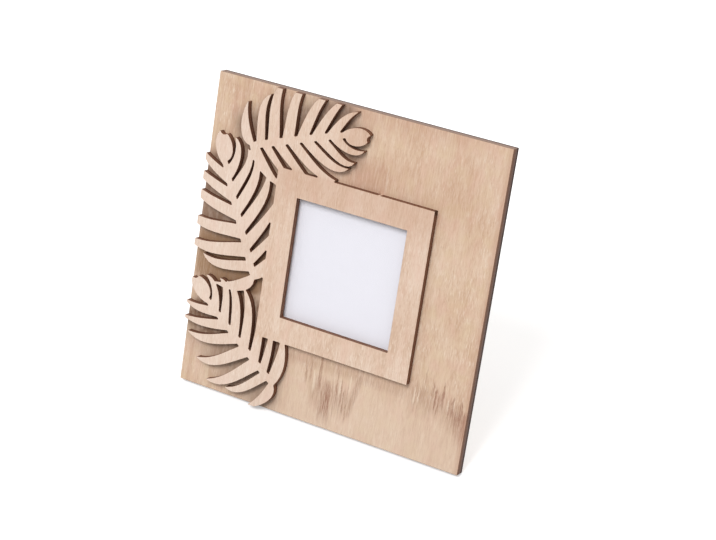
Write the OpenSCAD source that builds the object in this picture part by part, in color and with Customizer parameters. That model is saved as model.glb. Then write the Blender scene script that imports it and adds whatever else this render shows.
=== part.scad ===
// Small leaning photo frame of laser-cut plywood. A square board carries a fretwork sheet on
// its face: a square surround with three palm leaves growing out of it. The photo sits in a
// pocket behind the surround, under turn buttons, and an easel leg hinges on the back.
// The frame stands on z = 0, leans back and looks towards -Y. X = 0 is the board's middle.

/* [Board] */
// Width of the board
board_w = 150; // [140:1:180]
// Height of the board
board_h = 150; // [140:1:180]
// Thickness of the board
board_t = 5; // [4.6:0.1:8]
// How far the board leans back, in degrees
lean = 16.6; // [10:0.1:20]

/* [Surround] */
// Thickness of the fretwork sheet
overlay_t = 3; // [2:0.1:5]
// Side of the square opening that shows the photo
sight_w = 57; // [50:0.5:60]
// Width of the wooden border round that opening
border_w = 11.8; // [9:0.1:14]
// Middle of the surround, to the right of the board's middle
surround_x = 4.4; // [0:0.1:10]
// Middle of the surround, above the board's middle
surround_z = -0.4; // [-5:0.1:5]

/* [Leaves] */
// Length of the top leaf from its base to its tip
top_leaf_len = 60; // [52:0.5:62]
// Length of the middle leaf
middle_leaf_len = 66.5; // [60:0.5:72]
// Length of the bottom leaf
bottom_leaf_len = 61; // [52:0.5:64]
// Width of a slot between two leaflets, where it ends beside the rib
slot_w = 1.5; // [0.8:0.1:2]
// Width of the rib
rib_w = 3.2; // [2:0.1:5]
// Width of the narrow slot on the right of each leaf's end leaflet
end_slot_w = 0.9; // [0.8:0.05:1.2]
// Radius of the slots' ends and of the fretwork's other inner corners
inner_r = 0.36; // [0.1:0.02:0.36]
// Radius that the laser leaves on its outer corners
outer_r = 0.25; // [0.1:0.05:0.4]

/* [Photo pocket] */
// Side of the square photo
photo_w = 64; // [61:0.5:70]
// Clearance round the photo, its glazing and its backing
pocket_gap = 0.3; // [0.1:0.05:0.6]
// Thickness of the clear glazing
glazing_t = 1; // [0.8:0.1:1.5]
// Thickness of the photo card
photo_t = 0.3; // [0.2:0.05:0.5]
// Thickness of the backing panel
backing_t = 2.5; // [2:0.1:2.8]
// How far the backing panel lies below the board's back
backing_set_in = 0.2; // [0.1:0.05:0.3]

/* [Turn buttons] */
// Thickness of a turn button
button_t = 1; // [0.8:0.1:1.5]
// Radius of a turn button round its screw
button_r = 3; // [2.6:0.1:3.5]
// Radius of its nose
nose_r = 1.8; // [1.2:0.1:2.4]
// Distance from the screw to the middle of the nose
button_reach = 7.5; // [6:0.1:9]
// Distance of the screws from the pocket's side
button_margin = 4.5; // [3.8:0.1:5]
// Distance between the two buttons of one side
button_spacing = 36; // [24:1:50]

/* [Screws] */
// Radius of a screw's shank
screw_r = 1; // [0.8:0.05:1.2]
// Radius of a screw's round head
screw_head_r = 1.9; // [1.7:0.05:2.3]
// Height of that head
screw_head_h = 1.1; // [0.8:0.1:1.4]
// Depth of a screw in the board
screw_depth = 3.8; // [3:0.1:4.2]

/* [Easel leg] */
// Thickness of the leg
leg_t = 3; // [2.6:0.1:4]
// Width of the leg at the hinge
leg_top_w = 24; // [22:0.5:28]
// Width of the leg at the foot
leg_foot_w = 34; // [26:0.5:36]
// Angle between the board's back and the opened leg, in degrees
leg_open = 30; // [26:0.5:36]

/* [Hinge] */
// Width of the hinge
hinge_w = 24; // [22:0.5:26]
// Thickness of its sheet metal
leaf_t = 0.8; // [0.6:0.05:1]
// Height of the fixed leaf above the pin
fixed_leaf_h = 10; // [9.5:0.1:12]
// Height of the moving leaf below the pin
moving_leaf_h = 13; // [11:0.1:16]
// Distance from the top of the photo pocket up to the pin
pin_above_pocket = 7; // [5:0.1:9]
// Running clearance of the pin in its knuckles, on the radius
pin_gap = 0.05; // [0.02:0.01:0.08]
// Clearance between knuckles, side by side
knuckle_gap = 0.2; // [0.1:0.05:0.4]

/* [Hidden] */
$fn = 48;

wood_light = "#e1c8b2";
wood = "#d9ba9e";
hardboard = "#8a6a4c";
steel = "#c9c7c2";

// Metal parts sit on or in wood with this much play, and flat stops meet with it
seat_gap = 0.02;
// Anything longer than the frame, for cutting
beyond = 400;

// The surround and the photo pocket share one middle
surround_w = sight_w + 2 * border_w;
surround_at = [surround_x, surround_z];
pocket_w = photo_w + 2 * pocket_gap;
packing_t = board_t - glazing_t - photo_t - backing_t - backing_set_in;
pocket_x = surround_x;
pocket_z = board_h / 2 + surround_z;

// The pin lies midway between the fixed leaf on the board and the moving leaf on the leg
knuckle_r = (leg_t + leaf_t) / 2;
pin_bore_r = knuckle_r - leaf_t;
pin_r = pin_bore_r - pin_gap;
pin_y = knuckle_r;
pin_z = pocket_z + pocket_w / 2 + pin_above_pocket;
outer_knuckle_w = hinge_w * 0.21;
tongue_w = hinge_w * 0.2;
hinge_margin = 4;
hinge_screw_x = hinge_w / 2 - hinge_margin;
hinge_screw_z = 6.4;
rivet_z = moving_leaf_h - hinge_margin;
rivet_flare_r = 1.6;
rivet_flare_h = 0.7;
leg_top_gap = 0.5;
leg_corner_r = 2;

// Standing on the floor, the leg is this far from upright, and reaches back to rear_y
leg_tilt = leg_open - lean;
pin_height = pin_z * cos(lean) - pin_y * sin(lean);
pin_depth = pin_z * sin(lean) + pin_y * cos(lean);
rear_y = pin_depth + pin_height * tan(leg_tilt) + (leg_t - knuckle_r) / cos(leg_tilt);
front_y = -(board_t + overlay_t) * cos(lean);
// The board's lower back edge, placed so that y = 0 is midway between front and back
edge_y = -(front_y + rear_y) / 2;

// One leaf is drawn 60 mm long, with its rib along x from the base at 0, and is used three
// times. Each leaflet is a sickle between two slots: where its tip is along and beside the
// rib, and by how many degrees its outer edge turns away from the chord at the rib and tip.
// The inner edge turns by a share of that: at the rib by inner_share, unless a fifth value
// stands in its place, and at the tip by inner_tip_share.
drawn_len = 60;
inner_share = 0.4;
inner_tip_share = 0.45;
// How long a curve's handles are against its chord
handle_share = 0.36;
left_leaflets = [
    [0.5, 20.6, 72, 40, 0.15], [13.2, 21.8, 16, 54], [22.4, 27.4, 14, 46], [33, 23.8, 14, 50],
    [45, 18.4, 16, 42], [53.2, 15.6, 13, 26], [56.6, 8.4, 16, 36],
];
right_leaflets = [
    [12, 22, 38, 28, 0.15], [20, 23.5, 10, 14], [30, 24, 10, 20], [39.5, 20.5, 16, 42],
    [46.8, 15.8, 23, 61], [50.2, 13.5, 14, 75], [56.2, 8.9, 34, 65, 0.95],
];
leaflet_count = len(left_leaflets);
// First slot beside the rib, then the pitch of the others after a shorter first step
left_slots = slot_row(0.1, 6.2, 7.85);
right_slots = slot_row(2.9, 6.15, 7.5);
rib_start = -3;
rib_end = 47;
// The rib's left side closes in by this share at its end, and its right side spreads
left_narrowing = 0.7;
right_narrowing = -0.35;
end_leaflet_tip = [60.2, -2.3];
// The same two angles for the end leaflet's left edge and for its right edge, with the length
// of their handles
end_leaflet_left = [38, 53, 0.36];
end_leaflet_right = [-80, -84, 0.45];
// A shallow bite beside its tip
bite_at = [60, -4.6];
bite_r = 1.95;
edge_steps = 10;

// Each leaf: base point in the face, direction of its rib in degrees, and length
leaf_places = [
    [surround_at + [-surround_w / 2 - 13.6, surround_w / 2 + 6.7], 20, top_leaf_len],
    [surround_at + [-surround_w / 2 - 5.8, -11.9], 116.5, middle_leaf_len],
    [surround_at + [-surround_w / 2 + 11.1, -surround_w / 2 - 19.2], 145.2, bottom_leaf_len],
];

function slot_row(first, step, pitch) =
    [for (i = [0 : leaflet_count - 1]) i == 0 ? first : first + step + pitch * (i - 1)];
function heading(angle) = [cos(angle), sin(angle)];
function cubic(a, b, c, d, t) =
    pow(1 - t, 3) * a + 3 * pow(1 - t, 2) * t * b + 3 * (1 - t) * t * t * c + t * t * t * d;
function curve(a, b, c, d) = [for (k = [0 : edge_steps]) cubic(a, b, c, d, k / edge_steps)];
function reversed(points) = [for (k = [len(points) - 1 : -1 : 0]) points[k]];

// A curve that leaves its chord by one angle and comes back to it by another
function bowed(from, to, leave, arrive, share = handle_share) =
    let (chord = to - from, angle = atan2(chord[1], chord[0]), handle = norm(chord) * share)
    curve(from, from + handle * heading(angle + leave), to - handle * heading(angle - arrive), to);

// Point beside the rib, at x along it. The right side is drawn as a left one, and mirrored.
function rib_side(x, narrowing) = [x, rib_w / 2 * (1 - narrowing * pow(x / rib_end, 3))];
function mirrored(point) = [point[0], -point[1]];

// Outline of leaflet i beside the rib: its outer edge, its inner edge, and its root in the rib
function leaflet(leaflets, slots, narrowing, i) =
    let (
        row = leaflets[i],
        share = len(row) > 4 ? row[4] : inner_share,
        tip = [row[0], row[1]],
        outer_root = i == 0 ? [rib_start, 0] : rib_side(slots[i - 1] + slot_w / 2, narrowing),
        inner_root = rib_side(slots[i] - slot_w / 2, narrowing)
    )
    concat(
        bowed(outer_root, tip, row[2], row[3]),
        reversed(bowed(inner_root, tip, row[2] * share, row[3] * inner_tip_share)),
        [[inner_root[0], 0], [outer_root[0], 0]]
    );

module rib() {
    polygon(concat(
        [[rib_start, 0]],
        [for (k = [0 : edge_steps]) rib_side(rib_end * k / edge_steps, left_narrowing)],
        [for (k = [edge_steps : -1 : 0])
            mirrored(rib_side(rib_end * k / edge_steps, right_narrowing))]
    ));
}

module end_leaflet() {
    left_root = rib_side(left_slots[leaflet_count - 1] + slot_w / 2, left_narrowing);
    right_root = mirrored(rib_side(right_slots[leaflet_count - 1] + slot_w / 2, right_narrowing));
    left = end_leaflet_left;
    right = end_leaflet_right;
    difference() {
        polygon(concat(
            bowed(left_root, end_leaflet_tip, left[0], left[1], left[2]),
            reversed(bowed(right_root, end_leaflet_tip, right[0], right[1], right[2]))
        ));
        translate(bite_at) circle(bite_r);
    }
}

module palm_leaf() {
    rib();
    for (i = [0 : leaflet_count - 1]) polygon(leaflet(left_leaflets, left_slots, left_narrowing, i));
    difference() {
        for (i = [0 : leaflet_count - 1])
            mirror([0, 1]) polygon(leaflet(right_leaflets, right_slots, right_narrowing, i));
        offset(delta = end_slot_w) end_leaflet();
    }
    end_leaflet();
}

// The fretwork seen from the front, measured from the board's middle
module fretwork_outline() {
    offset(r = outer_r, $fn = 16) offset(delta = -outer_r)
    offset(r = -inner_r, $fn = 16) offset(delta = inner_r)
    intersection() {
        square([board_w, board_h], center = true);
        difference() {
            union() {
                translate(surround_at) square(surround_w, center = true);
                for (place = leaf_places)
                    translate(place[0]) rotate(place[1]) scale(place[2] / drawn_len) palm_leaf();
            }
            translate(surround_at) square(sight_w, center = true);
        }
    }
}

// Leans the board back: inside, z runs up the board from its lower back edge, which is the
// origin, and y runs back from the plane of its back
module leaning() {
    translate([0, edge_y, 0]) rotate([-lean, 0, 0]) children();
}

// Turns the folded leg and what is fixed to it out about the pin
module opened() {
    leaning() translate([0, pin_y, pin_z]) rotate([leg_open, 0, 0]) children();
}

// A flat sheet parallel to the board, from y_front back through its thickness
module sheet(y_front, thickness) {
    translate([0, y_front + thickness, 0]) rotate([90, 0, 0]) linear_extrude(thickness) children();
}

module screw_hole(x, z, r, from_y, to_y) {
    translate([x, to_y, z]) rotate([90, 0, 0]) cylinder(r = r, h = to_y - from_y);
}

// Half the outline of a round head, from its rim to its top
round_head = [for (a = [0 : 10 : 90]) [screw_head_r * cos(a), screw_head_h * sin(a)]];

// Round-headed screw along y, with its head's underside at y = 0 and a cross recess
module screw(length) {
    point_r = screw_r * 0.4;
    point_h = 1;
    recess_w = 0.5;
    recess_reach = screw_head_r * 0.6;
    recess_floor = screw_head_h * 0.55;
    rotate([-90, 0, 0]) difference() {
        rotate_extrude() polygon(concat(
            [[0, -length], [point_r, -length], [screw_r, -length + point_h], [screw_r, 0]],
            round_head
        ));
        for (turn = [0, 90]) rotate(turn) translate([-recess_reach, -recess_w / 2, recess_floor])
            cube([2 * recess_reach, recess_w, screw_head_h]);
    }
}

// Middle of each turn button's screw: left and right of the pocket as seen from the front
button_side_x = pocket_w / 2 + button_margin;
function button_at(side, level) =
    [pocket_x + side * button_side_x, pocket_z + level * button_spacing / 2];

module pocket_square(w) {
    translate([pocket_x, pocket_z]) square(w, center = true);
}

module board() {
    color(wood) leaning() difference() {
        sheet(-board_t, board_t) difference() {
            translate([-board_w / 2, 0]) square([board_w, board_h]);
            pocket_square(pocket_w);
        }
        for (side = [-1, 1], level = [-1, 1]) {
            at = button_at(side, level);
            screw_hole(at[0], at[1], screw_r + seat_gap, -screw_depth - seat_gap, 1);
        }
        for (side = [-1, 1])
            screw_hole(side * hinge_screw_x, pin_z + hinge_screw_z, screw_r + seat_gap,
                       -screw_depth - seat_gap, 1);
    }
}

module leaf_fretwork() {
    color(wood_light) leaning() sheet(-board_t - overlay_t, overlay_t)
        translate([0, board_h / 2]) fretwork_outline();
}

module glazing() {
    color("lightblue", 0.4) leaning() sheet(-board_t, glazing_t) pocket_square(photo_w);
}

module photo_card() {
    color("white") leaning() sheet(-board_t + glazing_t, photo_t) pocket_square(photo_w);
}

module packing_card() {
    color("#a59f93") leaning()
        sheet(-board_t + glazing_t + photo_t, packing_t) pocket_square(photo_w);
}

module backing_panel() {
    color(hardboard) leaning() sheet(-backing_set_in - backing_t, backing_t)
        pocket_square(photo_w);
}

// side is -1 for the left and 1 for the right, seen from the front, and level is 1 for the top
module turn_button(side, level) {
    at = button_at(side, level);
    color(steel) leaning() translate([at[0], 0, at[1]]) difference() {
        sheet(0, button_t) hull() {
            circle(button_r);
            translate([-side * button_reach, 0]) circle(nose_r);
        }
        screw_hole(0, 0, screw_r + pin_gap, -1, button_t + 1);
    }
}

module turn_button_screws() {
    color(steel) leaning() for (side = [-1, 1], level = [-1, 1]) {
        at = button_at(side, level);
        translate([at[0], button_t + pin_gap, at[1]]) screw(screw_depth + button_t + pin_gap);
    }
}

// Tapered plate that hangs from the pin and is cut level where it meets the floor
module easel_leg() {
    top = -knuckle_r - leg_top_gap;
    overlong = -(pin_height / cos(leg_tilt) + leg_t);
    color(wood) difference() {
        opened() sheet(-pin_y, leg_t) hull() {
            for (side = [-1, 1])
                translate([side * (leg_top_w / 2 - leg_corner_r), top - leg_corner_r])
                    circle(leg_corner_r);
            translate([-leg_foot_w / 2, overlong]) square([leg_foot_w, leg_corner_r]);
        }
        opened() for (side = [-1, 1]) translate([side * hinge_screw_x, 0, -rivet_z])
            rivet_shape(seat_gap, leg_t);
        translate([-beyond / 2, -beyond / 2, -beyond]) cube(beyond);
    }
}

// Knuckle of a hinge leaf along x, from x_from to x_to, round the pin at the origin
module knuckle(x_from, x_to) {
    translate([x_from, 0, 0]) rotate([0, 90, 0]) cylinder(r = knuckle_r, h = x_to - x_from);
}

module pin_bore() {
    translate([-hinge_w, 0, 0]) rotate([0, 90, 0]) cylinder(r = pin_bore_r, h = 2 * hinge_w);
}

// A plate with two rounded corners at its far end, from z = near to z = far
module leaf_plate(near, far) {
    corner = 1.5;
    inner_far = far > near ? far - corner : far + corner;
    translate([-hinge_w / 2, min(near, inner_far)]) square([hinge_w, abs(inner_far - near)]);
    translate([-hinge_w / 2 + corner, min(far, inner_far)])
        square([hinge_w - 2 * corner, corner]);
    for (side = [-1, 1]) translate([side * (hinge_w / 2 - corner), inner_far]) circle(corner);
}

// Fixed leaf on the board's back: two outer knuckles, and a plate that clears the middle ones
module hinge_fixed_leaf() {
    inner_x = hinge_w / 2 - outer_knuckle_w;
    color(steel) leaning() translate([0, pin_y, pin_z]) difference() {
        union() {
            knuckle(-hinge_w / 2, -inner_x);
            knuckle(inner_x, hinge_w / 2);
            sheet(-pin_y, leaf_t) difference() {
                leaf_plate(0, fixed_leaf_h);
                translate([-inner_x, -1]) square([2 * inner_x, knuckle_r + knuckle_gap + 1]);
            }
        }
        pin_bore();
        for (side = [-1, 1])
            screw_hole(side * hinge_screw_x, hinge_screw_z, screw_r + pin_gap, -pin_y - 1, 0);
    }
}

// Moving leaf on the leg: two knuckles, and between them a tongue that runs past the pin and
// stops the leg where its end meets the fixed leaf
module hinge_moving_leaf() {
    outer_x = hinge_w / 2 - outer_knuckle_w - knuckle_gap;
    tongue_x = tongue_w / 2;
    tongue_h = pin_bore_r / tan(leg_open / 2) - seat_gap;
    color(steel) opened() difference() {
        union() {
            knuckle(-outer_x, -tongue_x - knuckle_gap);
            knuckle(tongue_x + knuckle_gap, outer_x);
            sheet(pin_bore_r, leaf_t) {
                leaf_plate(-knuckle_r - knuckle_gap, -moving_leaf_h);
                for (side = [-1, 1]) translate([side > 0 ? tongue_x + knuckle_gap : -outer_x, 0])
                    translate([0, -knuckle_r - 1]) square([outer_x - tongue_x - knuckle_gap,
                                                           knuckle_r + 1]);
                translate([-tongue_x, -knuckle_r - 1]) square([tongue_w, tongue_h + knuckle_r + 1]);
            }
        }
        pin_bore();
        for (side = [-1, 1])
            screw_hole(side * hinge_screw_x, -rivet_z, screw_r + seat_gap, 0, knuckle_r + 1);
    }
}

// Hinge pin with peened ends
module hinge_pin() {
    peen_r = (pin_bore_r + knuckle_r) / 2;
    peen_h = 0.5;
    length = hinge_w + 2 * pin_gap;
    color(steel) leaning() translate([-length / 2, pin_y, pin_z]) rotate([0, 90, 0]) {
        cylinder(r = pin_r, h = length);
        for (z = [-peen_h, length]) translate([0, 0, z]) cylinder(r = peen_r, h = peen_h);
    }
}

module hinge_screws() {
    color(steel) leaning() for (side = [-1, 1])
        translate([side * hinge_screw_x, leaf_t, pin_z + hinge_screw_z])
            screw(screw_depth + leaf_t);
}

// Rivet along y through the leg and the moving leaf, set flush in the leg's front.
// grown widens it all round for its hole, and back is how far it runs from the leg's front.
module rivet_shape(grown, back) {
    translate([0, -pin_y, 0]) rotate([-90, 0, 0]) rotate_extrude() polygon([
        [0, 0], [rivet_flare_r + grown, 0], [screw_r + grown, rivet_flare_h + grown],
        [screw_r + grown, back], [0, back],
    ]);
}

module leg_rivets() {
    back = leg_t + leaf_t;
    color(steel) opened() for (side = [-1, 1]) translate([side * hinge_screw_x, 0, -rivet_z]) {
        rivet_shape(0, back);
        translate([0, back - pin_y, 0]) rotate([-90, 0, 0])
            rotate_extrude() polygon(concat([[0, 0]], round_head));
    }
}

board();
leaf_fretwork();
glazing();
photo_card();
packing_card();
backing_panel();
turn_button(-1, 1);  // turn_button_top_left
turn_button(-1, -1);  // turn_button_bottom_left
turn_button(1, 1);  // turn_button_top_right
turn_button(1, -1);  // turn_button_bottom_right
turn_button_screws();
easel_leg();
hinge_fixed_leaf();
hinge_moving_leaf();
hinge_pin();
hinge_screws();
leg_rivets();
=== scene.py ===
import math

import bpy
from mathutils import Matrix, Vector


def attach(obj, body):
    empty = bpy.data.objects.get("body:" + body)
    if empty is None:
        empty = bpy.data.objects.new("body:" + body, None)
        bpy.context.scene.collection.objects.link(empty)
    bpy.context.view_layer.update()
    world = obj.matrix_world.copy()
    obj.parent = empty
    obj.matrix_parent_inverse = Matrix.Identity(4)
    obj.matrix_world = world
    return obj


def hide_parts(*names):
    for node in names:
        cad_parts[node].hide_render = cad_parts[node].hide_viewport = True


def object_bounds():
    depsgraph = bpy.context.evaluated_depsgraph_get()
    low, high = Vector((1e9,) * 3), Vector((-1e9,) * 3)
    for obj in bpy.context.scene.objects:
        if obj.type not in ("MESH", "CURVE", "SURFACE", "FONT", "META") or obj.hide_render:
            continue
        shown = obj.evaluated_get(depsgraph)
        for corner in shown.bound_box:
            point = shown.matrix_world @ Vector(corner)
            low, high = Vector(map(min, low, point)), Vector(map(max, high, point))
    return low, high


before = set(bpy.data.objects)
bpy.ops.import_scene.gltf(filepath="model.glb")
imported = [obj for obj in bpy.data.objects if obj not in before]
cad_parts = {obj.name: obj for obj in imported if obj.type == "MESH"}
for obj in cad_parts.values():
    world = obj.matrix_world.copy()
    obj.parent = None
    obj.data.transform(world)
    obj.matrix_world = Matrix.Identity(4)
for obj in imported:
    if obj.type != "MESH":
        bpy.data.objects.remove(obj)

cad_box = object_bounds()

# The photographer's camera. It is held level, to the right of the frame and above it, and looks
# down at it. Its place comes from the edges of the board and the surround in the photograph.
CAMERA_PLACE = (0.40547, -0.66552, 0.53664)
CAMERA_LOOKS_UP = 58.994
CAMERA_LOOKS_LEFT = 31.048
CAMERA_LENS = 100.655
CAMERA_SENSOR = 36

bpy.ops.object.select_all(action="DESELECT")
bpy.ops.object.camera_add(
    location=CAMERA_PLACE,
    rotation=(math.radians(CAMERA_LOOKS_UP), 0, math.radians(CAMERA_LOOKS_LEFT)),
)
camera = bpy.context.object
camera.data.lens = CAMERA_LENS
camera.data.sensor_width = CAMERA_SENSOR
bpy.context.scene.camera = camera
bpy.context.scene.view_settings.view_transform = "Standard"


# The studio: a pale floor, a large soft lamp above the frame and in front of it, a weaker one
# behind it, and a white room round it all. They light a plain surface to about its own colour.
FLOOR_SIZE = 12
FLOOR_GAP = 0.0002
FLOOR_PAINT = (0.55, 0.55, 0.55, 1)
FLOOR_SEEN = (0.93, 0.93, 0.93, 1)
FLOOR_GLOW = (0.37, 0.37, 0.37, 1)
# Between these distances from the frame, in metres, the floor turns plain white
FLOOR_FADES = (0.5, 1.5)
DARK = (0, 0, 0, 1)
WHITE = (1, 1, 1, 1)
ROOM_LIGHT = 0.48
LAMP_DISTANCE = 3.2
LAMP_SIZE = 1.5
# Each lamp's name, the way to it from the frame, and its power in watts
FRONT_LAMP = ("front_lamp", Vector((-0.04, -0.62, 0.78)), 61)
BACK_LAMP = ("back_lamp", Vector((-0.62, 0.62, 0.6)), 34)


class Wire:
    """The output of a node in a finish. A sum written with it adds the Math nodes."""

    def __init__(self, finish, socket):
        self.finish = finish
        self.socket = socket

    def math(self, operation, *inputs):
        return self.finish.node("Math", {"operation": operation}, dict(enumerate(inputs)))

    def __add__(self, other):
        return self.math("ADD", self, other)

    def __sub__(self, other):
        return self.math("SUBTRACT", self, other)

    def __rsub__(self, other):
        return self.math("SUBTRACT", other, self)

    def __mul__(self, other):
        return self.math("MULTIPLY", self, other)

    def __truediv__(self, other):
        return self.math("DIVIDE", self, other)

    __radd__ = __add__
    __rmul__ = __mul__

    def largest(self, other):
        return self.math("MAXIMUM", self, other)

    def size(self):
        return self.math("ABSOLUTE", self)

    def rising(self, low, high):
        """0 below low, 1 above high, and a smooth rise between them."""
        return self.finish.node(
            "MapRange", {"interpolation_type": "SMOOTHSTEP"}, {0: self, 1: low, 2: high}
        )

    def hump(self, low, high, soft):
        """1 between low and high, and 0 outside them, over soft at either end."""
        return self.rising(low - soft, low) * (1 - self.rising(high, high + soft))


class Nodes:
    """The node tree of a material or of the room."""

    def __init__(self, tree):
        self.tree = tree

    def node(self, kind, settings=None, inputs=None, output=0):
        """Any node: its type, its settings, the values or wires of its inputs, and an output."""
        made = self.tree.nodes.new("ShaderNode" + kind)
        for name, value in (settings or {}).items():
            if name == "stops":
                ramp = made.color_ramp
                while len(ramp.elements) < len(value):
                    ramp.elements.new(1)
                for element, (place, colour) in zip(ramp.elements, value):
                    element.position = place
                    element.color = colour
            else:
                setattr(made, name, value)
        for name, value in (inputs or {}).items():
            self.feed(made.inputs[name], value)
        return Wire(self, made.outputs[output])

    def feed(self, socket, value):
        if isinstance(value, Wire):
            self.tree.links.new(value.socket, socket)
        else:
            socket.default_value = value

    def mixed(self, first, second, share):
        """Colour first with a share of colour second over it, by the Mix node's colour sockets."""
        return self.node("Mix", {"data_type": "RGBA"}, {0: share, 6: first, 7: second}, 2)

    def place(self):
        """The point's place in the room at rest, which goes with its piece in a pose."""
        return self.node("TexCoord", output="Object")

    def ray_is(self, kind):
        """1 for rays of a kind, and 0 for all others."""
        return self.node("LightPath", output=f"Is {kind} Ray")

    def seen(self):
        """1 where the camera sees the studio, also in metal or through the clear sheet, else 0."""
        indirect = self.ray_is("Glossy").largest(self.ray_is("Transmission"))
        return self.ray_is("Camera").largest(indirect)


class Finish(Nodes):
    """A material with a Principled shader."""

    def __init__(self, name, **shine):
        self.material = bpy.data.materials.new(name)
        self.material.use_nodes = True
        super().__init__(self.material.node_tree)
        self.shader = self.tree.nodes["Principled BSDF"]
        for socket, value in shine.items():
            self.set(socket.replace("_", " "), value)

    def set(self, name, value):
        """Gives an input of the shader a value or a wire."""
        self.feed(self.shader.inputs[name], value)


floor_paint = Finish("studio_floor", Roughness=0.9, Specular_IOR_Level=0, Emission_Strength=1)
seen = floor_paint.seen()
# Plain white where metal or glass mirrors it, and far from the frame, where it meets the room
distance = floor_paint.node(
    "VectorMath", {"operation": "LENGTH"}, {0: floor_paint.place()}, "Value"
)
plain = floor_paint.ray_is("Glossy").largest(distance.rising(*FLOOR_FADES) * seen)
floor_colour = floor_paint.mixed(FLOOR_PAINT, FLOOR_SEEN, seen)
floor_paint.set("Base Color", floor_paint.mixed(floor_colour, DARK, plain))
floor_glow = floor_paint.mixed(DARK, FLOOR_GLOW, seen)
floor_paint.set("Emission Color", floor_paint.mixed(floor_glow, WHITE, plain))

bpy.ops.object.select_all(action="DESELECT")
bpy.ops.mesh.primitive_plane_add(size=FLOOR_SIZE, location=(0, 0, -FLOOR_GAP))
floor = bpy.context.object
floor.name = "studio_floor"
floor.data.materials.append(floor_paint.material)

room = bpy.data.worlds.new("studio_room")
room.use_nodes = True
bpy.context.scene.world = room
room_paint = Nodes(room.node_tree)
background = room.node_tree.nodes["Background"]
background.inputs["Color"].default_value = WHITE
room_paint.feed(background.inputs["Strength"], room_paint.seen() * (1 - ROOM_LIGHT) + ROOM_LIGHT)

for name, towards, power in (FRONT_LAMP, BACK_LAMP):
    bpy.ops.object.select_all(action="DESELECT")
    bpy.ops.object.light_add(
        type="AREA",
        location=towards.normalized() * LAMP_DISTANCE,
        rotation=towards.to_track_quat("Z", "Y").to_euler(),
    )
    lamp = bpy.context.object
    lamp.name = name
    lamp.data.shape = "DISK"
    lamp.data.size = LAMP_SIZE
    lamp.data.energy = power


# The back board: three-ply wood, cut square by a laser, with a square window for the photo
# pocket. Its face is pale veneer with upright grain, and its cut edges are burnt brown.
MM = 0.001
LEAN = math.radians(16.6)
BOARD_W = 150
BOARD_H = 150
BOARD_T = 5
POCKET_W = 64.6
POCKET_X = 4.4
POCKET_Z = 74.6
BOARD_EASE = 0.15
SHARP_EDGE = math.radians(35)
LOOKS_ALONG = 0.9
# Where the board's lower back edge stands on the floor, in millimetres
EDGE_Y = -26.8498
# Tones of a veneer: dark, middle and light wood, its pale flecks and its dark pores
BOARD_TONES = ("#cba78c", "#dabca2", "#e5ccb5", "#f1dfcd", "#a98469")
BOARD_PINK = "#dfb5a2"
BOARD_STRAW = "#dcc3a0"
BOARD_PALE = "#e6cfbb"
# The dark of the flame figure, also used for a painted shadow under the surround
FLAME_AND_SHADOW = "#a37a66"
SPIKE = "#ecd7c1"
DUSK = "#bf947d"
STAIN = "#9c7a5c"
# Painted shade in the slots under the leaves, and its darker mottled core
UNDER_LEAF_SHADE = "#8f786a"
DEEP_UNDER_LEAF_SHADE = "#7c5a42"
# Plies of a cut edge, from front to back
BOARD_PLIES = ("#9c745f", "#987b70", "#5e4b46")
BOARD_GLUE = "#4a3a34"
# Painted shade on the board's top edge: a greyer tone over its front plies
SHADED_TOP_EDGE = "#967e70"
# Dark tongues in the front veneer: middle, half width, top and bottom, in millimetres, and share
TONGUES = (
    (4, 4.1, 24, -1, 0.85), (1.5, 1.8, 20, 4, 0.7), (5.6, 1.2, 22, 2, 1), (9, 0.8, 31, 8, 0.85),
    (11.4, 0.7, 27, 6, 0.8), (13, 0.9, 22, 6, 0.8), (15, 0.8, 19, 5, 0.75), (17, 0.9, 20, 7, 0.6),
    (-0.4, 1.4, 40, 8, 0.8), (-5.4, 0.9, 31, 17, 0.6), (-7.8, 1, 30, 18, 0.6),
    (52.6, 0.6, 45, 34, 0.5), (56.9, 0.8, 40, 28, 0.8), (58.4, 1.1, 37, 24, 1),
    (59.9, 0.8, 34, 22, 0.8), (62.1, 1.2, 40, 24, 1), (65.5, 0.8, 31, 22, 0.8),
    (67.4, 1.4, 35, 21, 0.9), (69.4, 1, 32, 18, 0.8), (71.6, 2, 35, 15, 1), (73.9, 1.9, 30, 13, 1),
    (48.3, 0.7, 31, 21, 0.8),
)
# Pale spikes between them: middle, half width, top and bottom, in millimetres
SPIKES = (
    (48, 0.6, 35, 23), (50, 0.5, 34, 24), (64.9, 0.6, 34, 27), (67.9, 0.5, 34, 28),
    (10.6, 0.8, 28, 16), (15.6, 0.7, 29, 18), (-3.2, 0.9, 26, 14), (17.8, 0.7, 129, 112),
)
# Painted shade under each leaf: the foot of its rib, across and up, the rib's turn in degrees and
# its length, how far the shade reaches beside it, and where it ends on the right
LEAF_SHADE = (
    (-49.5, 121.6, 20, 60, 21, 20),
    (-41.7, 62.7, 116.5, 66, 34, -30),
    (-24.8, 15.1, 145.2, 61, 30, -17),
)


def paint(code):
    """The colour of a six-digit code, as the shaders count it."""
    parts = [int(code[i : i + 2], 16) / 255 for i in (1, 3, 5)]
    return (*[p / 12.92 if p <= 0.04045 else ((p + 0.055) / 1.055) ** 2.4 for p in parts], 1)


def in_millimetres(finish, turned, moved):
    """Across, depth behind and height in millimetres, in the piece's own upright place."""
    place = finish.node(
        "Mapping",
        {"vector_type": "POINT"},
        {
            "Vector": finish.place(),
            "Scale": (1 / MM, 1 / MM, 1 / MM),
            "Rotation": (turned, 0, 0),
            "Location": moved,
        },
    )
    split = finish.node("SeparateXYZ", inputs={0: place}).socket.node
    return [Wire(finish, socket) for socket in split.outputs]


def on_board(finish):
    """Across, depth behind the board's back and height on it, from its lower back edge."""
    return in_millimetres(
        finish, LEAN, (0, -EDGE_Y * math.cos(LEAN), -EDGE_Y * math.sin(LEAN))
    )


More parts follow.
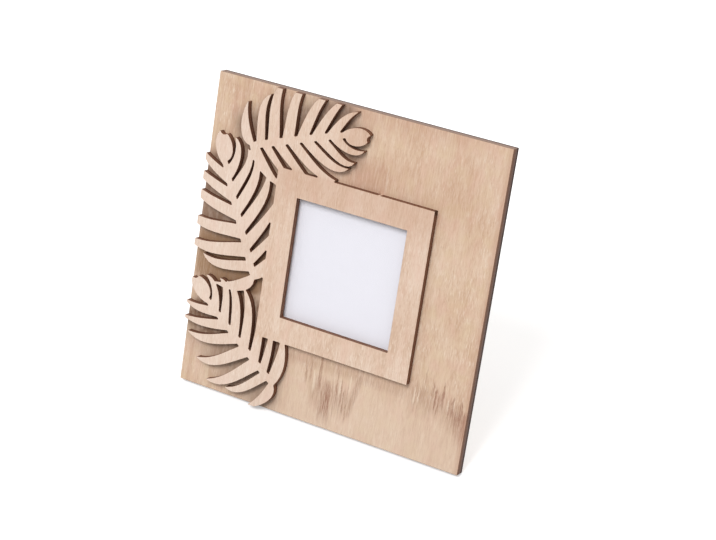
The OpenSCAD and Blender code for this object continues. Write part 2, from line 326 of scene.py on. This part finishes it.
def cloudy(finish, across, deep, up, detail=2, rough=0.5):
    """Even noise from about 0.3 to 0.7, with a grain of about 1 in each measure."""
    place = finish.node("CombineXYZ", inputs={0: across, 1: deep, 2: up})
    return finish.node(
        "TexNoise", inputs={"Vector": place, "Scale": 1, "Detail": detail, "Roughness": rough}
    )


def veneer(finish, across, deep, up, tones, contrast=1):
    """Colour and height of a wooden face with upright grain, pale flecks and dark pores."""
    dark, middle, light, fleck, pore = [paint(tone) for tone in tones]
    broad = cloudy(finish, across / 13, deep / 8, up / 26, 3)
    bands = cloudy(finish, across / 1.5, deep / 3, up / 24)
    fine = cloudy(finish, across / 0.5, deep / 2, up / 4, 3, 0.65)
    tone = 0.5 + (broad * 0.3 + bands * 0.2 + fine * 0.5 - 0.5) * (2.2 * contrast)
    colour = finish.node(
        "ValToRGB", {"stops": [(0.18, dark), (0.5, middle), (0.82, light)]}, {0: tone}
    )
    patches = cloudy(finish, across / 12, deep / 9, up / 15).rising(0.42, 0.6)
    flecks = cloudy(finish, across / 0.42, deep, up / 3.6, 1).rising(0.54, 0.68)
    flecks = flecks * (0.3 + patches * 0.7)
    pores = cloudy(finish, across / 0.22, deep, up / 1.7, 1).rising(0.6, 0.74)
    colour = finish.mixed(colour, fleck, flecks * (0.5 * contrast))
    colour = finish.mixed(colour, pore, pores * (0.3 * contrast))
    return colour, fine + flecks * 0.4 - pores


def raised(finish, height, depth, strength):
    """Presses a height into the surface, depth millimetres deep."""
    relief = {"Strength": strength, "Distance": depth * MM, "Height": height}
    finish.set("Normal", finish.node("Bump", inputs=relief))


def veneered(finish, colour, height):
    """Gives a finish a veneer's colour, and lets its height dull and dent the surface."""
    finish.set("Base Color", colour)
    finish.set("Roughness", 0.62 + (height - 0.5) * 0.12)
    raised(finish, height, 0.05, 0.5)


def tongue(place, middle, half, top, bottom):
    """A streak in the figure: a point at its top, widest at its foot, where it fades."""
    across, up = place
    fallen = (top - up) / (top - bottom)
    aside = (across - middle).size()
    narrow = 1 - (aside / (half * (0.4 + fallen))).rising(0.3, 1)
    return narrow * fallen.rising(0, 0.15) * (1 - fallen.rising(0.55, 1))


board_face = Finish("board_veneer", Specular_IOR_Level=0.25)
across, deep, up = on_board(board_face)
colour, height = veneer(board_face, across, deep, up, BOARD_TONES, 1.2)
blush = cloudy(board_face, across / 8, deep, up / 13).rising(0.45, 0.68)
straw = cloudy(board_face, across / 7 + 40, deep, up / 8).rising(0.45, 0.68)
colour = board_face.mixed(colour, paint(BOARD_PINK), blush * 0.3)
colour = board_face.mixed(colour, paint(BOARD_STRAW), straw * 0.35)
shaded = cloudy(board_face, across / 3 + 9, deep, up / 60).rising(0.48, 0.62)
colour = board_face.mixed(colour, paint(DUSK), shaded * (1 - across.rising(-62, -20)) * 0.3)
# The front veneer is paler at the foot, and its figure has ragged dark tongues along the grain. A
# painted shadow in the same dark colour lies under the surround's lower edge
front = 1 - deep.rising(-BOARD_T / 2 - 0.1, -BOARD_T / 2 + 0.1)
pale = (1 - up.rising(4, 52)) * (0.15 + across.rising(-45, -10) * 0.85)
colour = board_face.mixed(colour, paint(BOARD_PALE), pale * front * 0.4)
teeth = (cloudy(board_face, across / 0.8, 0, up / 40, 4, 0.85) - 0.5) * 1.3
streaks = cloudy(board_face, across / 0.5, 0, up / 9, 4, 0.75).rising(0.38, 0.6)
frayed = (across + cloudy(board_face, across / 1.5, 0, up / 2.5) * 1.4 - 0.7, up + teeth * 9)
below_right = (35.5 - (across - 58).rising(0, 20) * 7 + teeth * 20) - up
right = below_right.rising(0, 1.5) * (1 - below_right.rising(6, 18)) * across.hump(50, 90, 8)
right = right * (0.42 + 0.3 * across.rising(64, 73))
below_left = (24 + teeth * 20) - up
left = below_left.rising(0, 7) * (1 - below_left.rising(8, 20)) * across.hump(-2, 14, 5) * 0.5
wisp = (across - (up - 13) * 0.22).hump(15.8, 17.4, 1.5) * up.hump(11, 29, 4) * 0.5
# Painted shadow: a soft dark band under the surround's lower edge
shadow = up.hump(29, 33, 4) * across.hump(-16, 42, 4) * 0.3
flames_and_shadow = right.largest(left).largest(wisp).largest(shadow)
for *streak, share in TONGUES:
    flames_and_shadow = flames_and_shadow.largest(tongue(frayed, *streak) * share)
colour = board_face.mixed(colour, paint(FLAME_AND_SHADOW), flames_and_shadow * (0.3 + 0.85 * streaks) * front)
spikes = front * 0
for streak in SPIKES:
    spikes = spikes.largest(tongue(frayed, *streak))
colour = board_face.mixed(colour, paint(SPIKE), spikes * 0.7 * front)
dusk = across.hump(2, 14, 10) * (up - teeth * 14).hump(108, 124, 9)
dusk = dusk.largest(across.hump(-10, 40, 8) * (up - teeth * 10).hump(108, 126, 8) * 0.35)
edge_dusk = (up - teeth * 3).rising(138, 150) * across.rising(-40, 10) * 0.8
edge_dusk = edge_dusk * (1 - across.rising(45, 70) * 0.7)
dusk = dusk.largest(edge_dusk).largest(up.rising(95, 120) * across.rising(20, 50) * 0.3)
colour = board_face.mixed(colour, paint(DUSK), dusk * (0.25 + 0.5 * streaks) * front)
colour = board_face.mixed(colour, paint(DUSK), across.rising(71.8, 74.4) * 0.42 * front)
# Under the leaves the veneer is painted darker, thickest beside each leaf's rib: painted shade in
# the slots between the leaflets, with a darker mottled core. The wood is stained in one band
under_leaf_shade = front * 0
for base_across, base_up, turned, length, reach, right_end in LEAF_SHADE:
    along, beside = math.cos(math.radians(turned)), math.sin(math.radians(turned))
    past = (across - base_across) * along + (up - base_up) * beside
    aside = ((up - base_up) * along - (across - base_across) * beside).size()
    near = past.hump(-6, length - 12, 9) * (1 - aside.rising(reach * 0.4, reach))
    under_leaf_shade = under_leaf_shade.largest(near * (1 - across.rising(right_end - 6, right_end)))
under_leaf_shade = under_leaf_shade * (0.5 + 0.4 * up.rising(18, 42) - 0.1 * up.rising(62, 72))
colour = board_face.mixed(colour, paint(UNDER_LEAF_SHADE), under_leaf_shade * front)
# Painted shade, darker and mottled where the shade under the leaves is deepest
soot_and_shade = under_leaf_shade.rising(0.35, 0.75) * cloudy(board_face, across / 2, 0, up / 5).rising(0.35, 0.6)
soot_and_shade = soot_and_shade * (0.5 + 0.35 * (1 - up.rising(50, 60)))
colour = board_face.mixed(colour, paint(DEEP_UNDER_LEAF_SHADE), soot_and_shade * front)
stain = across.hump(-72, -40, 5) * (up - teeth * 8).hump(55, 72, 5)
colour = board_face.mixed(colour, paint(STAIN), stain * (0.5 + 0.5 * streaks) * front)
veneered(board_face, colour, height)


def burnt_edge(finish, place, thickness, plies, glue):
    """Colour of a cut edge: three plies from front to back, glue between, and the laser's ribs."""
    across, deep, up = place
    ribs = cloudy(finish, across / 0.22, deep / 6, up / 0.22, 2, 0.6)
    soot_and_shade = cloudy(finish, across / 4, deep / 1.5, up / 4)
    share = deep * (-1 / thickness)
    wavy = share + (soot_and_shade - 0.5) * 0.06
    middle = wavy.rising(0.34, 0.38)
    front = wavy.rising(0.62, 0.66)
    lines = wavy.hump(0.335, 0.355, 0.02).largest(wavy.hump(0.645, 0.665, 0.02))
    colour = finish.mixed(paint(plies[2]), paint(plies[1]), middle)
    colour = finish.mixed(colour, paint(plies[0]), front)
    colour = finish.mixed(colour, paint(glue), lines * 0.55)
    colour = finish.mixed(colour, paint(glue), (1 - ribs.rising(0.3, 0.6)) * 0.3)
    colour = finish.mixed(colour, paint(plies[1]), soot_and_shade.rising(0.5, 0.75) * 0.3)
    finish.set("Roughness", 0.7 + (ribs - 0.5) * 0.3)
    raised(finish, ribs + middle * 0.3 - lines * 0.5, 0.08, 0.6)
    return colour


board_edge = Finish("board_edge", Specular_IOR_Level=0.2)
across, deep, up = on_board(board_edge)
colour = burnt_edge(board_edge, (across, deep, up), BOARD_T, BOARD_PLIES, BOARD_GLUE)
# The front plies of the top edge are painted greyer: painted shade on the edge that the lamp above
# lights most
top = up.rising(BOARD_H - BOARD_EASE * 2, BOARD_H - BOARD_EASE) * (1 - deep.rising(-2.2, -1.2))
board_edge.set("Base Color", board_edge.mixed(colour, paint(SHADED_TOP_EDGE), top * 0.8))


def leaned(piece):
    """Leans an upright piece, in millimetres, back into its place, and leaves its object plain."""
    place = Matrix.Translation((0, EDGE_Y * MM, 0)) @ Matrix.Rotation(-LEAN, 4, "X")
    piece.data.transform(place @ Matrix.Scale(MM, 4) @ piece.matrix_world)
    piece.matrix_world = Matrix.Identity(4)
    piece.data.update()


def eased(piece, width, segments, finish_index=-1):
    """Takes the sharpness off a piece's edges, and shades its round walls smoothly."""
    bpy.ops.object.select_all(action="DESELECT")
    piece.select_set(True)
    bpy.context.view_layer.objects.active = piece
    ease = piece.modifiers.new("ease", "BEVEL")
    ease.limit_method = "ANGLE"
    ease.angle_limit = SHARP_EDGE
    ease.width = width * MM
    ease.segments = segments
    ease.use_clamp_overlap = False
    ease.material = finish_index
    bpy.ops.object.modifier_apply(modifier="ease")
    bpy.ops.object.shade_smooth_by_angle(angle=SHARP_EDGE)


def faced(piece, direction, finish_index):
    """Gives a finish to the flat faces that look along a direction, or against it."""
    towards = Vector(direction)
    for face in piece.data.polygons:
        if abs(face.normal.dot(towards)) > LOOKS_ALONG:
            face.material_index = finish_index
            face.use_smooth = False


bpy.ops.object.select_all(action="DESELECT")
bpy.ops.mesh.primitive_cube_add(size=1, location=(0, -BOARD_T / 2, BOARD_H / 2))
board = bpy.context.object
board.name = "back_board"
bpy.ops.object.mode_set(mode="EDIT")
bpy.ops.transform.resize(value=(BOARD_W, BOARD_T, BOARD_H))
bpy.ops.mesh.select_mode(type="FACE")
bpy.ops.mesh.select_all(action="DESELECT")
bpy.ops.object.mode_set(mode="OBJECT")
for face in board.data.polygons:
    face.select = abs(face.normal.y) > LOOKS_ALONG
bpy.ops.object.mode_set(mode="EDIT")
bpy.ops.mesh.inset(thickness=(BOARD_W - POCKET_W) / 2, use_individual=True)
bpy.ops.transform.translate(value=(POCKET_X, 0, POCKET_Z - BOARD_H / 2))
bpy.ops.mesh.bridge_edge_loops()
bpy.ops.mesh.select_all(action="SELECT")
bpy.ops.mesh.normals_make_consistent(inside=False)
bpy.ops.object.mode_set(mode="OBJECT")
leaned(board)
FACING = (0, -math.cos(LEAN), math.sin(LEAN))
board.data.materials.append(board_edge.material)
board.data.materials.append(board_face.material)
eased(board, BOARD_EASE, 1, 0)
faced(board, FACING, 1)
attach(board, "frame")
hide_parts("board")


# The fretwork: one 3 mm plywood sheet, laser-cut into a square surround and three palm leaves,
# and glued to the board's face. Its walls are burnt darker than the board's edge.
FRET_T = 3
FRET_EASE = 0.08
MERGED_WITHIN = 0.002
FRET_TONES = ("#d5b69d", "#e3c8b2", "#edd7c4", "#f4e3d3", "#b38d74")
FRET_PINK = "#e9c6b3"
FRET_DUSK = "#c69c83"
FRET_PALE = "#f9ebe1"
FRET_PLIES = ("#80563f", "#8a644f", "#704936")
FRET_GLUE = "#40281b"
FRET_BARE = "#ead0bb"


def on_fretwork(finish):
    """Across, depth behind the fretwork's back and height, from the board's lower edge."""
    across, deep, up = on_board(finish)
    return across, deep + BOARD_T, up


def from_node(node, name):
    """A copy of a CAD node, its loose triangles merged into one skin."""
    piece = bpy.data.objects.new(name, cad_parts[node].data.copy())
    bpy.context.scene.collection.objects.link(piece)
    piece.data.materials.clear()
    bpy.ops.object.select_all(action="DESELECT")
    piece.select_set(True)
    bpy.context.view_layer.objects.active = piece
    bpy.ops.object.mode_set(mode="EDIT")
    bpy.ops.mesh.select_all(action="SELECT")
    bpy.ops.mesh.remove_doubles(threshold=MERGED_WITHIN * MM)
    bpy.ops.object.mode_set(mode="OBJECT")
    return piece


fret_face = Finish("fretwork_veneer", Specular_IOR_Level=0.25)
across, deep, up = on_board(fret_face)
colour, height = veneer(fret_face, across + 200, deep, up + 90, FRET_TONES, 1.5)
blush = cloudy(fret_face, across / 7, deep, up / 16).rising(0.45, 0.7)
colour = fret_face.mixed(colour, paint(FRET_PINK), blush * 0.4)
# The surround is dusky towards its top. The leaves are paler than it, most of all on the left
surround = across.rising(-42, -34) * up.rising(29, 35)
top_leaf = up.rising(114.5, 118)
leaf_dusk = top_leaf * (1 - across.rising(-20, 10))
dusk = 0.08 + up.rising(34, 60) * 0.08 + up.rising(92, 112) * 0.26 * (1 - leaf_dusk)
dusk = dusk * (1 - (1 - surround) * up.rising(80, 100) * (1 - top_leaf) * 0.6)
colour = fret_face.mixed(colour, paint(FRET_DUSK), dusk)
leaf_pale = (1 - surround * (1 - top_leaf)) * (0.22 + (1 - across.rising(-60, -45)) * 0.06)
leaf_pale = leaf_pale * (1 - top_leaf * (across.rising(-56, -44) + across.rising(-20, 5)) * 0.5)
colour = fret_face.mixed(colour, paint(FRET_PALE), leaf_pale)
veneered(fret_face, colour, height)
fret_edge = Finish("fretwork_edge", Specular_IOR_Level=0.2)
across, deep, up = on_fretwork(fret_edge)
colour = burnt_edge(fret_edge, (across, deep, up), FRET_T, FRET_PLIES, FRET_GLUE)
# One holding tab on the surround's upper edge was broken off bare
tab = across.hump(16.2, 17, 0.15) * up.hump(114.7, 115.1, 0.2)
colour = fret_edge.mixed(colour, paint(FRET_BARE), tab * 0.9)
# The laser dwelt where its cut round the surround began
scorch = across.rising(43.5, 44.5) * up.rising(112, 113.5)
fret_edge.set("Base Color", fret_edge.mixed(colour, paint(FRET_GLUE), scorch * 0.8))

fretwork = from_node("leaf_fretwork", "palm_fretwork")
fretwork.data.materials.append(fret_edge.material)
fretwork.data.materials.append(fret_face.material)
eased(fretwork, FRET_EASE, 1, 0)
# The bevel overshoots at a sharp tip, so every point is kept inside the CAD's box
for point in fretwork.data.vertices:
    limits = zip(cad_box[0], point.co, cad_box[1])
    point.co = [max(low, min(high, value)) for low, value, high in limits]
faced(fretwork, FACING, 1)
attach(fretwork, "frame")
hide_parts("leaf_fretwork")


# What fills the pocket, from the front: clear acrylic, the blank photo card, and grey board.
# All are square sheets, cut with a little play, and lie loose on each other.
SHEET_W = 64
ACRYLIC_T = 1
ACRYLIC_EASE = 0.12
ACRYLIC_HAZE = 0.04
ACRYLIC_IOR = 1.49
PHOTO_T = 0.3
PHOTO_EASE = 0.05
# The paper's face lies this far behind the acrylic's back, so that the two are never in one place
PHOTO_AIR = 0.03
GREYBOARD_T = 1
GREYBOARD_EASE = 0.1
PAPER = "#efeef6"
PAPER_SHADE = "#edecf4"
GREYBOARD = "#a59f93"
GREYBOARD_FIBRE = "#7f786d"


def evened(piece):
    """Shades the piece's flat faces flat, so that only its eased edges look round."""
    even = piece.modifiers.new("even", "WEIGHTED_NORMAL")
    even.keep_sharp = True
    even.weight = 100
    bpy.ops.object.modifier_apply(modifier="even")


def pocket_sheet(name, node, thickness, front, ease, finish):
    """A square sheet in the pocket, its face so far behind the board's back, its edges eased."""
    bpy.ops.object.select_all(action="DESELECT")
    bpy.ops.mesh.primitive_cube_add(size=1, location=(POCKET_X, front + thickness / 2, POCKET_Z))
    sheet = bpy.context.object
    sheet.name = name
    bpy.ops.object.mode_set(mode="EDIT")
    bpy.ops.transform.resize(value=(SHEET_W, thickness, SHEET_W))
    bpy.ops.object.mode_set(mode="OBJECT")
    leaned(sheet)
    sheet.data.materials.append(finish.material)
    eased(sheet, ease, 2)
    evened(sheet)
    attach(sheet, "frame")
    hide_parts(node)


acrylic = Finish(
    "clear_acrylic", Base_Color=WHITE, Roughness=0.08, Alpha=ACRYLIC_HAZE, IOR=ACRYLIC_IOR
)
pocket_sheet(
    "acrylic_front", "glazing", ACRYLIC_T, -BOARD_T, ACRYLIC_EASE, acrylic
)

photo_paper = Finish("photo_paper", Specular_IOR_Level=0.3, Roughness=0.55)
across, deep, up = on_board(photo_paper)
fibres = cloudy(photo_paper, across / 0.3, deep, up / 0.3, 4, 0.7)
sheen = cloudy(photo_paper, across / 26, deep, up / 26)
photo_paper.set(
    "Base Color", photo_paper.mixed(paint(PAPER), paint(PAPER_SHADE), fibres * 0.4 + sheen * 0.4)
)
raised(photo_paper, fibres, 0.004, 0.2)
photo_front = -BOARD_T + ACRYLIC_T
pocket_sheet(
    "blank_photo", "photo_card", PHOTO_T - PHOTO_AIR, photo_front + PHOTO_AIR, PHOTO_EASE,
    photo_paper,
)

greyboard = Finish("greyboard", Specular_IOR_Level=0.2)
across, deep, up = on_board(greyboard)
fibres = cloudy(greyboard, across / 0.5, deep / 0.3, up / 0.4, 5, 0.75)
specks = cloudy(greyboard, across / 0.8, deep, up / 0.8, 1).rising(0.62, 0.7)
greyboard.set(
    "Base Color",
    greyboard.mixed(paint(GREYBOARD), paint(GREYBOARD_FIBRE), fibres * 0.5 + specks * 0.5),
)
greyboard.set("Roughness", 0.75 + (fibres - 0.5) * 0.3)
raised(greyboard, fibres, 0.05, 0.5)
pocket_sheet(
    "grey_packing", "packing_card", GREYBOARD_T, photo_front + PHOTO_T, GREYBOARD_EASE, greyboard,
)


# The backing: a square of brown hardboard that closes the pocket at the back, with its smooth
# pressed side outwards. It is loose, and lifts out once the buttons are turned.
BACKING_T = 2.5
BACKING_IN = 0.2
BACKING_EASE = 0.3
HARDBOARD = "#84603f"
HARDBOARD_DARK = "#5f4229"
HARDBOARD_FIBRE = "#a17c57"

pressed_fibre = Finish("hardboard", Specular_IOR_Level=0.35)
across, deep, up = on_board(pressed_fibre)
felt = cloudy(pressed_fibre, across / 1.1, deep / 0.4, up / 1.1, 5, 0.7)
chips = cloudy(pressed_fibre, across / 0.35, deep, up / 1.6).rising(0.6, 0.72)
cloud = cloudy(pressed_fibre, across / 20, deep, up / 20)
colour = pressed_fibre.mixed(paint(HARDBOARD), paint(HARDBOARD_DARK), felt * 0.6 + cloud * 0.4)
colour = pressed_fibre.mixed(colour, paint(HARDBOARD_FIBRE), chips * 0.5)
pressed_fibre.set("Base Color", colour)
pressed_fibre.set("Roughness", 0.45 + (felt - 0.5) * 0.3)
raised(pressed_fibre, felt + chips * 0.4, 0.06, 0.5)
backing_front = -BACKING_IN - BACKING_T
pocket_sheet(
    "hardboard_backing", "backing_panel", BACKING_T, backing_front, BACKING_EASE, pressed_fibre,
)


# The four turn buttons: nickel-plated steel stampings, each free on its own screw. A quarter
# turn takes the nose off the backing. Their edges are rounded by tumbling.
BUTTON_EASE = 0.18
NICKEL = "#c9c7c2"
NICKEL_DULL = "#bcb9b3"


def plated(name, bright, dull, scratch):
    """Nickel plate on steel: cloudy in places, with fine rubbing marks."""
    finish = Finish(name, Metallic=1.0)
    across, deep, up = on_board(finish)
    cloud = cloudy(finish, across / 3, deep / 3, up / 3, 3)
    rubbed = cloudy(finish, across / 0.12, deep / 0.12, up / 2.5)
    colour = finish.mixed(paint(bright), paint(dull), cloud.rising(0.4, 0.65))
    finish.set("Base Color", colour)
    finish.set("Roughness", 0.26 + cloud * 0.12 + rubbed * 0.1)
    raised(finish, rubbed * scratch + cloud, 0.02, 0.4)
    return finish


nickel = plated("plated_steel", NICKEL, NICKEL_DULL, 0.5)
for corner in ("top_left", "bottom_left", "top_right", "bottom_right"):
    button = from_node("turn_button_" + corner, "button_" + corner)
    button.data.materials.append(nickel.material)
    eased(button, BUTTON_EASE, 3)
    evened(button)
    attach(button, "button_" + corner)
    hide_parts("turn_button_" + corner)


# The easel leg: tapered 3 mm plywood, laser-cut like the rest, with its foot cut level to stand
# on the table. It hangs on the hinge below its rounded top corners.
LEG_T = 3
LEG_OPENS = math.radians(30)
LEG_TILT = LEG_OPENS - LEAN
LEG_EASE = 0.12
# The hinge pin's place in the room, and how far it lies behind the leg's front, in millimetres
PIN_Y = 7.51097
PIN_Z = 108.61
PIN_IN = 1.9
LEG_TONES = ("#c9a582", "#d6b594", "#e2c5a6", "#ecd6bb", "#9d7859")


def on_leg(finish):
    """Across, depth behind the leg's back and height on the leg, from the pin."""
    turned = Matrix.Rotation(-LEG_TILT, 3, "X")
    pin = turned @ Vector((0, PIN_Y, PIN_Z))
    return in_millimetres(finish, -LEG_TILT, (0, PIN_IN - LEG_T - pin.y, -pin.z))


leg_face = Finish("leg_veneer", Specular_IOR_Level=0.25)
across, deep, up = on_leg(leg_face)
colour, height = veneer(leg_face, across + 410, deep, up + 300, LEG_TONES)
veneered(leg_face, colour, height)
leg_edge = Finish("leg_edge", Specular_IOR_Level=0.2)
leg_edge.set("Base Color", burnt_edge(leg_edge, on_leg(leg_edge), LEG_T, FRET_PLIES, FRET_GLUE))

leg = from_node("easel_leg", "stand_leg")
leg.data.materials.append(leg_edge.material)
leg.data.materials.append(leg_face.material)
eased(leg, LEG_EASE, 1, 0)
faced(leg, (0, -math.cos(LEG_TILT), -math.sin(LEG_TILT)), 1)
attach(leg, "leg")
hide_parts("easel_leg")


# The hinge: two leaves of 0.8 mm plated steel rolled round a pin with peened ends. The fixed
# leaf is screwed to the board, and the moving leaf is riveted to the leg.
HINGE_EASE = 0.12

for node, name, body in (
    ("hinge_fixed_leaf", "hinge_board_leaf", "frame"),
    ("hinge_moving_leaf", "hinge_leg_leaf", "leg"),
    ("hinge_pin", "hinge_peened_pin", "frame"),
):
    part = from_node(node, name)
    part.data.materials.append(nickel.material)
    eased(part, HINGE_EASE, 2)
    evened(part)
    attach(part, body)
    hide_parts(node)


# Screws and rivets: small round-headed wood screws with a cross recess, and two rivets closed
# over the moving leaf. All are zinc-plated steel, duller and bluer than the hinge.
SCREW_EASE = 0.08
ZINC = "#c2c4c6"
ZINC_DULL = "#b0b3b6"

zinc = plated("screw_steel", ZINC, ZINC_DULL, 0.2)
for node, name, body in (
    ("turn_button_screws", "button_screws", "frame"),
    ("hinge_screws", "hinge_wood_screws", "frame"),
    ("leg_rivets", "leg_closed_rivets", "leg"),
):
    part = from_node(node, name)
    part.data.materials.append(zinc.material)
    eased(part, SCREW_EASE, 2)
    evened(part)
    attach(part, body)
    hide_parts(node)
